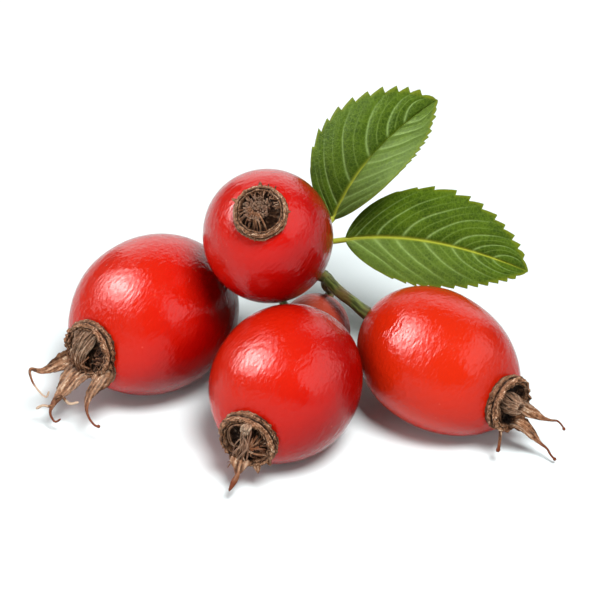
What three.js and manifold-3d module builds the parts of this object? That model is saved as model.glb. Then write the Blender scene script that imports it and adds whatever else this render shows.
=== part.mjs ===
// A sprig of five ripe rose hips lying on a flat surface, with its stalk and two leaflets.
// Millimetres, +Z up. The hips rest on z = 0 and the middle of the footprint is the origin.

import * as THREE from 'three';
import { mergeVertices } from 'three/addons/utils/BufferGeometryUtils.js';
import Module from 'manifold-3d';

const wasm = await Module();
wasm.setup();

// ---- driving dimensions -------------------------------------------------------------------

const FOOTPRINT_MIDDLE = [0.87, 8.05]; // moved to the origin at the end
const CLEARANCE = 0.3; // between pieces that touch on the plant

const HIP_SIDES = 24;
const HIP_RINGS = 14;
const NECK_SHARE = 0.4; // neck radius over the hip's widest radius
const SHOULDER = 2.2; // higher is fuller towards the neck
const NECK_BEND = 0.12; // sideways drift of the neck, over its length

// A hip's axis runs from its stem end to its calyx. turn is its heading in degrees, 0 facing
// -Y and 90 facing +X. lift is its slope above the horizontal.
// stemSide and calyxSide are the lengths on either side of the widest place, the centre.
const HIPS = {
  left: {
    centre: [-18.55, 15.6, 10.8], turn: -45, lift: -3, radius: 10.9, stemSide: 12.15, calyxSide: 11.4,
    mouth: { turn: -38, lift: 10, radius: 4.1 }, rests: true,
  },
  front: {
    centre: [-0.35, 0, 10.05], turn: -29, lift: -16, radius: 10, stemSide: 11.05, calyxSide: 9.95,
    mouth: { turn: -24, lift: -3, radius: 4.05 }, rests: true,
  },
  right: {
    centre: [19.6, 6.6, 9.5], turn: 54, lift: -13.5, radius: 9.35, stemSide: 11, calyxSide: 11.6,
    mouth: { turn: 45, lift: 5, radius: 3.9 }, rests: true,
  },
  top: {
    centre: [-2.8, 11.9, 25.5], turn: -6.5, lift: 48, radius: 8.75, stemSide: 10.9, calyxSide: 10.2,
    mouth: { turn: -6.5, lift: 46, radius: 3.6 }, rests: false,
  },
  back: {
    centre: [3, 16.85, 5.85], turn: -24, lift: -28, radius: 5.35, stemSide: 6.7, calyxSide: 6.8,
    mouth: { turn: -24, lift: -22, radius: 2.2 }, rests: true,
  },
};

// Dried sepals. Each path is measured from the mouth's middle and begins just off the rim,
// where the sepal's root turns in to the cup. Half widths go evenly from root to tip.
const SEPALS = {
  left: [
    {
      path: [[-3.9, 0.1, -1.9], [-5.3, -0.8, -2.3], [-7.2, -1.6, -2.7], [-8.7, -1.8, -2.3],
        [-8.4, -2.8, -3.6], [-6.6, -4.2, -5], [-5.7, -4.3, -3.9]],
      halfWidths: [1, 1.25, 0.6, 0.4, 0.35, 0.35],
    },
    {
      path: [[-2.6, -1.6, -3.4], [-4.5, -3, -5.4], [-6, -3.6, -7.2], [-6.1, -4.4, -8.7],
        [-4.6, -5.4, -8.2]],
      halfWidths: [1.7, 1.6, 1.2, 0.5, 0.4, 0.4],
    },
    {
      path: [[0.7, -3.3, -2.7], [-0.6, -4.5, -4.4], [-1.1, -5.2, -5.5], [0.8, -7.6, -7.7]],
      halfWidths: [1.8, 1.6, 0.7, 0.4, 0.45],
    },
  ],
  front: [
    {
      path: [[-1.3, -1.3, -3], [-1.6, -2.6, -4.3], [-1.9, -3.5, -4.9], [-2.9, -4.7, -5.9]],
      halfWidths: [1.7, 1.7, 1.0, 0.45, 0.65, 0.4],
    },
    { path: [[0.8, -1.8, -3.5], [0.9, -2.4, -4.6]], halfWidths: [0.8, 0.6, 0.5] },
    { path: [[2.3, -2.3, -2.4], [2.7, -3, -3]], halfWidths: [0.9, 0.6, 0.4] },
  ],
  right: [
    {
      path: [[3.1, 0.4, -1.4], [4.7, 0, -2], [5.9, -0.7, -2.2], [7.7, -1.9, -2.3],
        [8.4, -2.7, -3.3]],
      halfWidths: [1.2, 1.15, 0.95, 0.4, 0.35, 0.4],
    },
    {
      path: [[1.9, -1.1, -2.8], [3.2, -2.1, -4.1], [4.5, -2.9, -5], [6.2, -3.7, -5.6],
        [7.2, -4.5, -6.7]],
      halfWidths: [1.6, 1.3, 0.95, 0.6, 0.35, 0.4],
    },
    { path: [[-0.5, -3.1, -3.1], [-0.7, -4.6, -4.8], [-0.9, -5, -5.5]], halfWidths: [0.5, 0.4, 0.4] },
    { path: [[0.6, -2.2, -3.6], [0.7, -2.6, -4.1]], halfWidths: [0.9, 0.7, 0.5] },
  ],
  top: [
    { path: [[-3.5, 0.4, 1.9], [-4, 0.4, 2.2]], halfWidths: [0.6, 0.5, 0.3] },
    { path: [[3.5, -0.9, 0.9], [4.1, -0.9, 1.1]], halfWidths: [0.6, 0.5, 0.3] },
    { path: [[-0.1, 1.7, 3.5], [-0.1, 2, 4]], halfWidths: [0.7, 0.5, 0.3] },
    { path: [[-0.7, -3.4, -1.5], [-0.8, -3.9, -2]], halfWidths: [0.6, 0.5, 0.3] },
  ],
  back: [
    { path: [[-1.4, -1.2, -1.1], [-1.9, -2.4, -1.2]], halfWidths: [0.7, 0.55, 0.35] },
    { path: [[0.9, -1.4, 0.5], [1, -2.5, 0.4]], halfWidths: [0.7, 0.55, 0.35] },
  ],
};
const SEPAL_THICKNESS = 0.64;
const SEPAL_ROOT = { radiusShare: 0.84, belowRim: 0.35 }; // where a sepal is rooted in the rim
const CUP_HEIGHT = 1.5;
const CUP_FLOOR = 0.3; // as a share of the height

// The dry cup: two ridges outside, a rim, and a hollow floor, as shares of its radius and height.
const CUP_OUTLINE = [[0, 0], [0.93, 0], [1, 0.2], [0.94, 0.42], [1.02, 0.7], [0.95, 1], [0.82, 0.95],
  [0.72, 0.35], [0, CUP_FLOOR]];

// Dried styles and stamens in the mouth: a fluted bundle, with filaments round it.
const TUFT_SINK = 0.15; // how deep the bundle is rooted in the cup's floor
const TUFTS = {
  left: { height: 2.5, lean: [-0.5, -0.2, 0.2], filaments: 9, seed: 11 },
  front: { height: 2.5, lean: [-0.5, 0, 0.5], filaments: 8, seed: 12 },
  right: { height: 2.7, lean: [0.3, -0.3, -0.1], filaments: 7, seed: 13 },
  top: { height: 1.9, lean: [0, 0.1, 0.2], filaments: 15, seed: 14 },
  back: { height: 1.2, lean: [0, 0, 0], filaments: 5, seed: 15 },
};

const STALK_SIDES = 8;
const FORK = [5.05, 19.2, 14.5]; // where the stalk ends in its last two pedicels
const NODE = [1, 22.1, 15]; // where the leaf and the first pedicels leave the stalk
const CUT_END = [-6.4, 27.4, 18.4];
const STALK_BEND = [-2.6, 24.8, 16.1];
const STALK_RADIUS = { cutEnd: 1.2, fork: 0.9 };

// Each pedicel leaves the stalk, passes its bends and flares where it meets the hip's stem end.
// It comes in straight for aim, and off the hip's pole by offset.
const PEDICELS = {
  right: {
    from: FORK, bends: [[6.9, 17, 13.5], [8.7, 15, 13.1]], radius: 0.82, flare: 1.15, aim: 0.5,
    offset: [-0.1, 0.1, 0.55],
  },
  back: { from: FORK, bends: [[5, 20.6, 12.2]], radius: 0.58, flare: 0.75, aim: 1.1, offset: [0, 0, 0] },
  left: {
    from: NODE, bends: [[-3.2, 26.2, 13.6], [-6.4, 26.9, 12.2]], radius: 0.75, flare: 1.2, aim: 1.8,
    offset: [0, 0, 0],
  },
  top: { from: NODE, bends: [[-0.9, 22, 14.9]], radius: 0.75, flare: 1.15, aim: 1.8, offset: [0, 0, 0] },
  front: {
    from: NODE,
    bends: [[-1.4, 18, 13.8], [-0.8, 15.4, 12.6], [0.8, 13.4, 12.1], [3, 12, 12], [4.6, 11, 12.2]],
    radius: 0.55, flare: 0.8, aim: 0.6, offset: [-0.26, -0.03, -0.27],
  },
};
const LEAF_STALK = { path: [NODE, [4, 22, 17.2], [4.85, 22.2, 19.2], [5.3, 22.4, 21.1]], radius: 0.55 };
const LEAF_STALK_SIDE = { path: [[4.6, 22.2, 18], [5.2, 22.2, 18.3], [5.85, 22.2, 18.45]], radius: 0.5 };

// Leaflets. The blade lies along its midrib, and face is the way that its upper side looks.
// The half on side 1 is on the left of someone looking from base to tip. fold is how far it is
// tilted up from flat. root and point say how fast it widens from the base and from the tip:
// lower is fuller.
const LEAFLETS = {
  upper: {
    base: [5.9, 22.9, 22.6], middle: [11, 24.4, 31.5], tip: [20.1, 28.6, 37.2],
    face: [-0.12, -0.84, 0.53], petiolule: [5.45, 22.6, 21.5],
    halves: [
      { side: 1, width: 7.2, fold: 4, root: 0.75, point: 0.91 },
      { side: -1, width: 7.2, fold: 43, root: 0.57, point: 0.52 },
    ],
  },
  lower: {
    base: [8.6, 21.9, 18.8], middle: [19.5, 20.6, 19.4], tip: [33.3, 19.6, 15.1],
    face: [-0.02, -0.8, 0.6], petiolule: [6.2, 22.2, 18.5],
    halves: [
      { side: 1, width: 7.35, fold: 10, root: 0.64, point: 0.88 },
      { side: -1, width: 6.2, fold: 12, root: 0.54, point: 0.88 },
    ],
  },
};
const BLADE_THICKNESS = 0.6;
const TEETH = 20; // on each margin
const TOOTH_DEPTH = 0.6;
const TOOTH_SLANT = 0.75; // how far a tooth's point lies along its step, towards the tip
const BLADE_ARCH = 0.9; // how far the margin falls back from a flat half
const VEIN_SWEEP = 0.1; // how far the margin runs ahead of the midrib, towards the tip

// ---- shared shape-making ------------------------------------------------------------------

const vector = (p) => new THREE.Vector3(...p);

function heading(turn, lift) {
  const t = THREE.MathUtils.degToRad(turn);
  const l = THREE.MathUtils.degToRad(lift);
  return new THREE.Vector3(Math.cos(l) * Math.sin(t), -Math.cos(l) * Math.cos(t), Math.sin(l));
}

// Two directions square to an axis and to each other.
function across(axis) {
  const side = new THREE.Vector3(0, 0, 1).cross(axis).normalize();
  return [side, new THREE.Vector3().crossVectors(axis, side)];
}

// A closed skin over rings of points that all have the same count. Each end is closed on a point.
function skin(rings) {
  const count = rings[0].length;
  const points = rings.flat();
  const middleOf = (ring) => ring.reduce((sum, p) => sum.add(p), new THREE.Vector3()).divideScalar(count);
  const first = points.push(middleOf(rings[0])) - 1;
  const last = points.push(middleOf(rings[rings.length - 1])) - 1;
  const faces = [];
  for (let j = 0; j < count; j++) {
    const k = (j + 1) % count;
    const end = (rings.length - 1) * count;
    faces.push(first, k, j, last, end + j, end + k);
    for (let i = 0; i < rings.length - 1; i++) {
      const a = i * count;
      const b = a + count;
      faces.push(a + j, a + k, b + k, a + j, b + k, b + j);
    }
  }
  return closed(points, faces);
}

// A geometry from points and faces, turned inside out if its faces point inwards.
function closed(points, faces) {
  let volume = 0;
  for (let f = 0; f < faces.length; f += 3) {
    const [a, b, c] = [points[faces[f]], points[faces[f + 1]], points[faces[f + 2]]];
    volume += a.dot(new THREE.Vector3().crossVectors(b, c));
  }
  const geometry = new THREE.BufferGeometry().setFromPoints(points);
  geometry.setIndex(volume > 0 ? faces : faces.reverse());
  return geometry;
}

function toSolid(geometry) {
  const bare = geometry.clone();
  bare.deleteAttribute('normal');
  bare.deleteAttribute('uv');
  const merged = mergeVertices(bare, 1e-4);
  return new wasm.Manifold(new wasm.Mesh({
    numProp: 3,
    vertProperties: new Float32Array(merged.attributes.position.array),
    triVerts: new Uint32Array(merged.index.array),
  }));
}

function toGeometry(solid) {
  const mesh = solid.getMesh();
  const geometry = new THREE.BufferGeometry();
  geometry.setAttribute('position', new THREE.BufferAttribute(mesh.vertProperties, 3));
  geometry.setIndex(new THREE.BufferAttribute(mesh.triVerts, 1));
  return geometry;
}

function joined(geometries) {
  return toGeometry(geometries.map(toSolid).reduce((all, next) => all.add(next)));
}

// A round stem through points, whose radius comes from its share of the way along.
function stem(points, radiusAt, sides, steps) {
  const curve = new THREE.CatmullRomCurve3(points.map(vector));
  const frames = curve.computeFrenetFrames(steps, false);
  const rings = [];
  for (let i = 0; i <= steps; i++) {
    const middle = curve.getPointAt(i / steps);
    const radius = radiusAt(i / steps);
    rings.push(Array.from({ length: sides }, (_, j) => {
      const angle = (2 * Math.PI * j) / sides;
      return middle.clone()
        .addScaledVector(frames.normals[i], radius * Math.cos(angle))
        .addScaledVector(frames.binormals[i], radius * Math.sin(angle));
    }));
  }
  return skin(rings);
}

// A seeded source of random numbers from 0 to 1.
function randomFrom(seed) {
  let state = seed * 2654435761 % 4294967296;
  return () => {
    state = (state * 1664525 + 1013904223) % 4294967296;
    return state / 4294967296;
  };
}

// ---- hips ---------------------------------------------------------------------------------

// The middle and the facing of the hip at a share of its length, -1 the stem end and 1 the neck.
function hipAxisAt(hip, share) {
  const axis = heading(hip.turn, hip.lift);
  const mouth = heading(hip.mouth.turn, hip.mouth.lift);
  const aside = mouth.clone().addScaledVector(axis, -mouth.dot(axis));
  const bend = Math.max(share, 0) ** 4;
  const along = share < 0 ? hip.stemSide * share : hip.calyxSide * share;
  const drift = hip.calyxSide * NECK_BEND * bend;
  return {
    middle: vector(hip.centre).addScaledVector(axis, along).addScaledVector(aside, drift),
    facing: axis.clone().addScaledVector(aside, bend).normalize(),
  };
}

function hipRadiusAt(hip, share) {
  const drop = share < 0 ? share ** 2 : (1 - NECK_SHARE ** 2) * share ** SHOULDER;
  return hip.radius * Math.sqrt(Math.max(1 - drop, 0));
}

function hipGeometry(hip) {
  const rings = [];
  for (let i = 1; i <= HIP_RINGS; i++) {
    const share = -Math.cos((Math.PI * i) / HIP_RINGS);
    const { middle, facing } = hipAxisAt(hip, share);
    const [side, up] = across(facing);
    rings.push(Array.from({ length: HIP_SIDES }, (_, j) => {
      const angle = (2 * Math.PI * j) / HIP_SIDES;
      return middle.clone()
        .addScaledVector(side, hipRadiusAt(hip, share) * Math.cos(angle))
        .addScaledVector(up, hipRadiusAt(hip, share) * Math.sin(angle));
    }));
  }
  const whole = skin(rings);
  return hip.rests ? flattenedBelow(whole, hip) : whole;
}

// Pressed flat where it lies on the surface.
function flattenedBelow(geometry, hip) {
  const depth = 2;
  const ground = new THREE.BoxGeometry(4 * hip.radius, 4 * hip.radius, depth);
  ground.translate(hip.centre[0], hip.centre[1], -depth / 2);
  return toGeometry(toSolid(geometry).subtract(toSolid(ground)));
}

// ---- calyxes ------------------------------------------------------------------------------

function cup(hip) {
  const profile = CUP_OUTLINE.map(([r, h]) => new THREE.Vector2(r * hip.mouth.radius, h * CUP_HEIGHT));
  const geometry = new THREE.LatheGeometry(profile, 20);
  const { middle, facing } = hipAxisAt(hip, 1);
  const turned = new THREE.Quaternion().setFromUnitVectors(new THREE.Vector3(0, 1, 0), facing);
  geometry.applyQuaternion(turned);
  geometry.translate(...middle.addScaledVector(facing, CLEARANCE));
  return geometry;
}

// A dried sepal: a tapering strip with a blunt edge, its flat side towards the mouth's axis.
function sepal(hip, { path, halfWidths }) {
  const { middle, facing } = hipAxisAt(hip, 1);
  const points = path.map((p) => vector(p).add(middle));
  const root = vector(path[0]);
  root.addScaledVector(facing, -root.dot(facing)).setLength(SEPAL_ROOT.radiusShare * hip.mouth.radius);
  points.unshift(root.add(middle).addScaledVector(facing, CUP_HEIGHT - SEPAL_ROOT.belowRim));
  const curve = new THREE.CatmullRomCurve3(points);
  const steps = 2 * path.length + 1;
  const rings = [];
  for (let i = 0; i <= steps; i++) {
    const share = i / steps;
    const point = curve.getPointAt(share);
    const along = curve.getTangentAt(share);
    const outward = point.clone().sub(middle);
    outward.addScaledVector(facing, -outward.dot(facing));
    const wide = new THREE.Vector3().crossVectors(along, outward).normalize();
    const thick = new THREE.Vector3().crossVectors(wide, along);
    const place = share * (halfWidths.length - 1);
    const below = Math.min(Math.floor(place), halfWidths.length - 2);
    const half = THREE.MathUtils.lerp(halfWidths[below], halfWidths[below + 1], place - below);
    const rise = SEPAL_THICKNESS / 2;
    rings.push([[1, 0], [0.5, 1], [-0.5, 1], [-1, 0], [-0.5, -1], [0.5, -1]]
      .map(([w, t]) => point.clone().addScaledVector(wide, w * half).addScaledVector(thick, t * rise)));
  }
  return skin(rings);
}

// The bundle of dried styles, fluted all round, and stamen filaments standing about it.
function tuft(hip, { height, lean, filaments, seed }) {
  const random = randomFrom(seed);
  const { middle, facing } = hipAxisAt(hip, 1);
  const [side, up] = across(facing);
  const root = middle.clone().addScaledVector(facing, CLEARANCE + CUP_FLOOR * CUP_HEIGHT - TUFT_SINK);
  const sides = 14;
  const outline = [[0.42, 0], [0.36, 0.35], [0.3, 0.7], [0.34, 0.9], [0.2, 1]];
  const rings = outline.map(([share, level]) => Array.from({ length: sides }, (_, j) => {
    const angle = (2 * Math.PI * j) / sides;
    const radius = hip.mouth.radius * share * (j % 2 ? 1 : 0.8);
    return root.clone()
      .addScaledVector(facing, height * level)
      .addScaledVector(vector(lean), level ** 2)
      .addScaledVector(side, radius * Math.cos(angle))
      .addScaledVector(up, radius * Math.sin(angle));
  }));
  const pieces = [skin(rings)];
  for (let i = 0; i < filaments; i++) {
    const angle = (2 * Math.PI * (i + 0.5 * random())) / filaments;
    const outward = side.clone().multiplyScalar(Math.cos(angle)).addScaledVector(up, Math.sin(angle));
    const start = root.clone().addScaledVector(outward, 0.3 * hip.mouth.radius);
    const reach = 0.55 + 0.15 * random();
    const end = root.clone()
      .addScaledVector(outward, reach * hip.mouth.radius)
      .addScaledVector(facing, height * (0.45 + 0.4 * random()));
    pieces.push(stem([start.toArray(), end.toArray()], (share) => 0.3 - 0.1 * share, 5, 1));
  }
  return pieces;
}

function calyxGeometry(name) {
  const hip = HIPS[name];
  return joined([cup(hip), ...SEPALS[name].map((each) => sepal(hip, each)), ...tuft(hip, TUFTS[name])]);
}

// ---- stalk --------------------------------------------------------------------------------

function pedicel(name) {
  const { from, bends, radius, flare, aim, offset } = PEDICELS[name];
  const { middle, facing } = hipAxisAt(HIPS[name], -1);
  const end = middle.clone().addScaledVector(facing, -CLEARANCE).add(vector(offset));
  const before = end.clone().addScaledVector(facing, -aim);
  const path = [from, ...bends, before.toArray(), end.toArray()];
  const radiusAt = (share) => THREE.MathUtils.lerp(radius, flare, THREE.MathUtils.smoothstep(share, 0.7, 1));
  return stem(path, radiusAt, STALK_SIDES, 3 * path.length);
}

function stalkGeometry() {
  const radiusAt = (share) => THREE.MathUtils.lerp(STALK_RADIUS.cutEnd, STALK_RADIUS.fork, share);
  return joined([
    stem([CUT_END, STALK_BEND, NODE, FORK], radiusAt, STALK_SIDES, 12),
    ...Object.keys(PEDICELS).map(pedicel),
    stem(LEAF_STALK.path, () => LEAF_STALK.radius, STALK_SIDES, 8),
    stem(LEAF_STALK_SIDE.path, () => LEAF_STALK_SIDE.radius, STALK_SIDES, 3),
  ]);
}

// ---- leaflets -----------------------------------------------------------------------------

// Half width of a blade at a share of its length.
function halfWidthAt({ width, root, point }, share) {
  const shape = (at) => at ** root * (1 - at) ** point;
  return (width * shape(share)) / shape(root / (root + point));
}

// One row of the blade's middle surface, from one margin over the midrib to the other.
function bladeRow(leaflet, midrib, step, columns) {
  const notch = Math.floor(step / 2) / TEETH;
  const isPoint = step % 2 === 1;
  const point = notch + TOOTH_SLANT / TEETH;
  const along = Math.min(isPoint ? point : notch, 1);
  const atMargin = THREE.MathUtils.clamp(along + VEIN_SWEEP * Math.sin(Math.PI * along), 0.004, 0.996);
  const face = vector(leaflet.face).normalize();
  const row = [];
  for (let c = -columns; c <= columns; c++) {
    const half = leaflet.halves.find((h) => h.side === Math.sign(c)) ?? leaflet.halves[0];
    const out = Math.abs(c) / columns;
    const share = THREE.MathUtils.lerp(THREE.MathUtils.clamp(along, 0.004, 0.996), atMargin, out);
    const middle = midrib.getPointAt(share);
    const forward = midrib.getTangentAt(share);
    const sideways = new THREE.Vector3().crossVectors(face, forward).normalize().multiplyScalar(Math.sign(c));
    const tooth = isPoint && out === 1 ? TOOTH_DEPTH : 0;
    const spread = out * (halfWidthAt(half, atMargin) + tooth);
    const tilt = THREE.MathUtils.degToRad(half.fold);
    const lift = spread * Math.sin(tilt) - BLADE_ARCH * (spread / half.width) ** 2;
    row.push(middle.addScaledVector(sideways, spread * Math.cos(tilt)).addScaledVector(face, lift));
  }
  return row;
}

// The blade: its middle surface, thickened to both sides with the same triangles on each.
function bladeGeometry(leaflet) {
  const columns = 3;
  const midrib = midribOf(leaflet);
  const steps = 2 * TEETH;
  const rows = Array.from({ length: steps + 1 }, (_, i) => bladeRow(leaflet, midrib, i, columns));
  const wide = 2 * columns + 1;
  const flat = rows.flat();
  const normalAt = (i, c) => {
    const alongway = rows[Math.min(i + 1, steps)][c].clone().sub(rows[Math.max(i - 1, 0)][c]);
    const sideway = rows[i][Math.min(c + 1, wide - 1)].clone().sub(rows[i][Math.max(c - 1, 0)]);
    return alongway.cross(sideway).normalize();
  };
  const shift = (p, i, c, by) => p.clone().addScaledVector(normalAt(i, c), by);
  const shifted = (by) => rows.flatMap((row, i) => row.map((p, c) => shift(p, i, c, by)));
  const points = [...shifted(BLADE_THICKNESS / 2), ...shifted(-BLADE_THICKNESS / 2)];
  const under = flat.length;
  const faces = [];
  for (let i = 0; i < steps; i++) {
    for (let c = 0; c < wide - 1; c++) {
      const a = i * wide + c;
      const b = a + wide;
      faces.push(a, b, b + 1, a, b + 1, a + 1);
      faces.push(under + a, under + b + 1, under + b, under + a, under + a + 1, under + b + 1);
    }
  }
  const edge = [];
  for (let c = 0; c < wide; c++) edge.push(c);
  for (let i = 1; i <= steps; i++) edge.push(i * wide + wide - 1);
  for (let c = wide - 2; c >= 0; c--) edge.push(steps * wide + c);
  for (let i = steps - 1; i > 0; i--) edge.push(i * wide);
  edge.forEach((a, n) => {
    const b = edge[(n + 1) % edge.length];
    faces.push(a, b, under + b, a, under + b, under + a);
  });
  return closed(points, faces);
}

// The midrib's line, bent so that it passes through its named middle.
function midribOf({ base, middle, tip }) {
  const control = base.map((b, i) => 2 * middle[i] - (b + tip[i]) / 2);
  return new THREE.QuadraticBezierCurve3(...[base, control, tip].map(vector));
}

// The midrib stands out under the blade, and runs on below it as the petiolule.
function midribGeometry(leaflet) {
  const curve = midribOf(leaflet);
  const back = vector(leaflet.face).normalize().multiplyScalar(-0.25);
  const along = [0.04, 0.3, 0.6, 0.9].map((share) => curve.getPointAt(share).add(back).toArray());
  return stem([leaflet.petiolule, ...along], (share) => 0.5 - 0.22 * share, 6, 10);
}

const leafletGeometry = (leaflet) => joined([bladeGeometry(leaflet), midribGeometry(leaflet)]);

// ---- the sprig ----------------------------------------------------------------------------

const skinRed = new THREE.MeshStandardMaterial({ color: 0xc41408, roughness: 0.22, metalness: 0 });
const driedBrown = new THREE.MeshStandardMaterial({ color: 0x6e5038, roughness: 0.9, metalness: 0 });
const stalkGreen = new THREE.MeshStandardMaterial({ color: 0x66703a, roughness: 0.6, metalness: 0 });
const leafGreen = new THREE.MeshStandardMaterial({ color: 0x476b1a, roughness: 0.5, metalness: 0 });

const sprig = new THREE.Group();

function place(name, geometry, material) {
  const mesh = new THREE.Mesh(geometry, material.clone());
  mesh.name = name;
  sprig.add(mesh);
}

for (const name of Object.keys(HIPS)) {
  place(`hip_${name}`, hipGeometry(HIPS[name]), skinRed);
  place(`calyx_${name}`, calyxGeometry(name), driedBrown);
}
place('stalk', stalkGeometry(), stalkGreen);
place('leaflet_upper', leafletGeometry(LEAFLETS.upper), leafGreen);
place('leaflet_lower', leafletGeometry(LEAFLETS.lower), leafGreen);

sprig.position.set(-FOOTPRINT_MIDDLE[0], -FOOTPRINT_MIDDLE[1], 0);

export default sprig;
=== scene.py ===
import random
from math import cos, pi, radians, sin

import bpy
import numpy as np
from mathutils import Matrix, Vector, noise


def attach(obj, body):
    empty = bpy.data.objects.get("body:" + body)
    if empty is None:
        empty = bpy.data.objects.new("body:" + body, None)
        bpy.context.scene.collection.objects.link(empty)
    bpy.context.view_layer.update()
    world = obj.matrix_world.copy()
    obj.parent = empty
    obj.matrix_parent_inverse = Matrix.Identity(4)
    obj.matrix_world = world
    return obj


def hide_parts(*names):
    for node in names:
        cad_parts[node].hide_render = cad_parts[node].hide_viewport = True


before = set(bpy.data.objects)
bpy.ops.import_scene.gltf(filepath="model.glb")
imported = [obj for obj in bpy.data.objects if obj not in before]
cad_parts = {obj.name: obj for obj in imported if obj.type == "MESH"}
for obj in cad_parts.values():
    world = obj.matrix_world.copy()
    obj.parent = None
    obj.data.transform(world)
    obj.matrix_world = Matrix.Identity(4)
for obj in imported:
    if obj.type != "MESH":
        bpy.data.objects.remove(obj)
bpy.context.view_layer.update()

# ---- Table, light and camera ------------------------------------------------------------------
# The sprig lies on a plain pale table. A soft key light stands high in front and a weak, wide fill
# low in front on the left. White cards give the waxy skins their highlights.

MM = 0.001
SPRIG_MIDDLE = np.array([0.87, 8.05, 0.0])  # lengths are laid out in mm about the front hip
TABLE_SIDE = 6.0
LIT_HEIGHT = 0.012  # the height in metres that all lights face
CAMERA_PLACE = (1.467, -245.72, 182.70)
CAMERA_DOWN = 33  # degrees below the horizontal


def placed(points):
    """Points laid out in millimetres about the front hip, in metres about the sprig's middle."""
    return (np.asarray(points, dtype=float) - SPRIG_MIDDLE) * MM


def table_finish():
    material = bpy.data.materials.new("pale_table")
    material.use_nodes = True
    shader = material.node_tree.nodes["Principled BSDF"]
    shader.inputs["Base Color"].default_value = (0.72, 0.79, 0.795, 1)
    shader.inputs["Roughness"].default_value = 0.9
    shader.inputs["Specular IOR Level"].default_value = 0.1
    return material


table_mesh = bpy.data.meshes.new("table")
table_mesh.from_pydata(
    [(TABLE_SIDE * x, TABLE_SIDE * y, 0) for x, y in ((-0.5, -0.5), (0.5, -0.5), (0.5, 0.5), (-0.5, 0.5))],
    [], [(0, 1, 2, 3)],
)
table_mesh.materials.append(table_finish())
table = bpy.data.objects.new("table", table_mesh)
bpy.context.collection.objects.link(table)


def soft_box(name, direction, distance, size, watts, card=False, shape="RECTANGLE"):
    """A soft light that faces the sprig, set out in metres. A card only shows as a reflection."""
    lamp = bpy.data.lights.new(name, "AREA")
    lamp.shape = shape
    lamp.size, lamp.size_y = size
    lamp.energy = watts
    light = bpy.data.objects.new(name, lamp)
    aim = Vector((0, 0, LIT_HEIGHT))
    away = Vector(direction).normalized()
    light.location = aim + away * distance
    light.rotation_mode = "QUATERNION"
    light.rotation_quaternion = away.to_track_quat("Z", "Y")
    light.visible_glossy = card
    light.visible_diffuse = not card
    bpy.context.collection.objects.link(light)


soft_box("key_light", (0.26, -0.42, 1.0), 3.2, (1.25, 1.25), 152)
soft_box("front_fill", (-0.62, -0.75, 0.3), 1.2, (0.6, 0.5), 5.5)
window = (-0.67, -0.1, 0.73)
soft_box("window_core", window, 0.5, (0.2, 0.24), 2.8, card=True, shape="ELLIPSE")
soft_box("window_halo", window, 0.51, (0.44, 0.5), 6.6, card=True, shape="ELLIPSE")
soft_box("window_frame", window, 0.52, (0.7, 0.78), 6.4, card=True, shape="ELLIPSE")
soft_box("back_card", (0.15, 1.0, 0.5), 0.8, (1.0, 0.75), 4.6, card=True)
soft_box("right_card", (0.78, -0.3, 0.5), 0.6, (0.7, 0.5), 3.0, card=True)

room = bpy.data.worlds.new("dim_room")
room.use_nodes = True
room.node_tree.nodes["Background"].inputs["Color"].default_value = (1, 1, 1, 1)
room.node_tree.nodes["Background"].inputs["Strength"].default_value = 0.18
bpy.context.scene.world = room
bpy.context.scene.view_settings.view_transform = "Standard"
bpy.context.scene.view_settings.look = "None"

camera = bpy.data.objects.new("camera", bpy.data.cameras.new("camera"))
camera.data.sensor_width = 36
camera.data.lens = 135
camera.data.clip_start = 0.01
camera.location = placed(CAMERA_PLACE)
camera.rotation_euler = (radians(90 - CAMERA_DOWN), 0, 0)
bpy.context.collection.objects.link(camera)
bpy.context.scene.camera = camera

# ---- Hips -------------------------------------------------------------------------------------
# Each hip is the swollen, fleshy flower base of a rose: a smooth waxy berry, widest nearer its
# stem end, that narrows to a neck under the dry calyx. The resting ones are pressed a little flat.

# turn is the heading from stem end to calyx in degrees, 0 facing -Y and 90 facing +X, and lift is
# the slope above the horizontal. The mouth has its own turn and lift. stem_side and calyx_side are
# the lengths in mm on either side of the centre. blush is how orange the skin is, and crumbling how
# rough the dry cup in the mouth. A hip that rests is pressed flat where it lies.
HIPS = {
    "left": dict(
        centre=(-18.55, 15.6, 10.8), turn=-45, lift=-3, radius=10.9, stem_side=12.15, calyx_side=11.4,
        mouth_turn=-38, mouth_lift=10, mouth_radius=4.1, blush=0.2, crumbling=1.0, rests=True,
    ),
    "front": dict(
        centre=(-0.35, 0, 10.05), turn=-29, lift=-16, radius=10, stem_side=11.05, calyx_side=9.95,
        mouth_turn=-24, mouth_lift=-3, mouth_radius=4.05, blush=0.2, crumbling=1.0, rests=True,
    ),
    "right": dict(
        centre=(19.6, 6.6, 9.5), turn=54, lift=-13.5, radius=9.35, stem_side=11, calyx_side=11.6,
        mouth_turn=45, mouth_lift=5, mouth_radius=3.9, blush=0.44, crumbling=0.9, rests=True,
    ),
    "top": dict(
        centre=(-2.8, 11.9, 25.5), turn=-6.5, lift=48, radius=8.75, stem_side=10.9, calyx_side=10.2,
        mouth_turn=-6.5, mouth_lift=46, mouth_radius=3.6, blush=0.1, crumbling=0.5, rests=False,
    ),
    "back": dict(
        centre=(3, 16.85, 5.85), turn=-24, lift=-28, radius=5.35, stem_side=6.7, calyx_side=6.8,
        mouth_turn=-24, mouth_lift=-22, mouth_radius=2.2, blush=0.3, crumbling=0.5, rests=True,
    ),
}
NECK_SHARE = 0.4  # the neck's radius as a share of the hip's
SHOULDER = 2.2  # the higher, the later the hip narrows to its neck
NECK_BEND = 0.12  # how far the neck moves towards the mouth's own heading, as a share of its length
HIP_RINGS = 96
HIP_SIDES = 128
HIP_RIPPLE = 0.07  # how far the flesh swells in and out, in mm
RIPPLE_FULL = 3  # the radius in mm from which it swells fully
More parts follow.
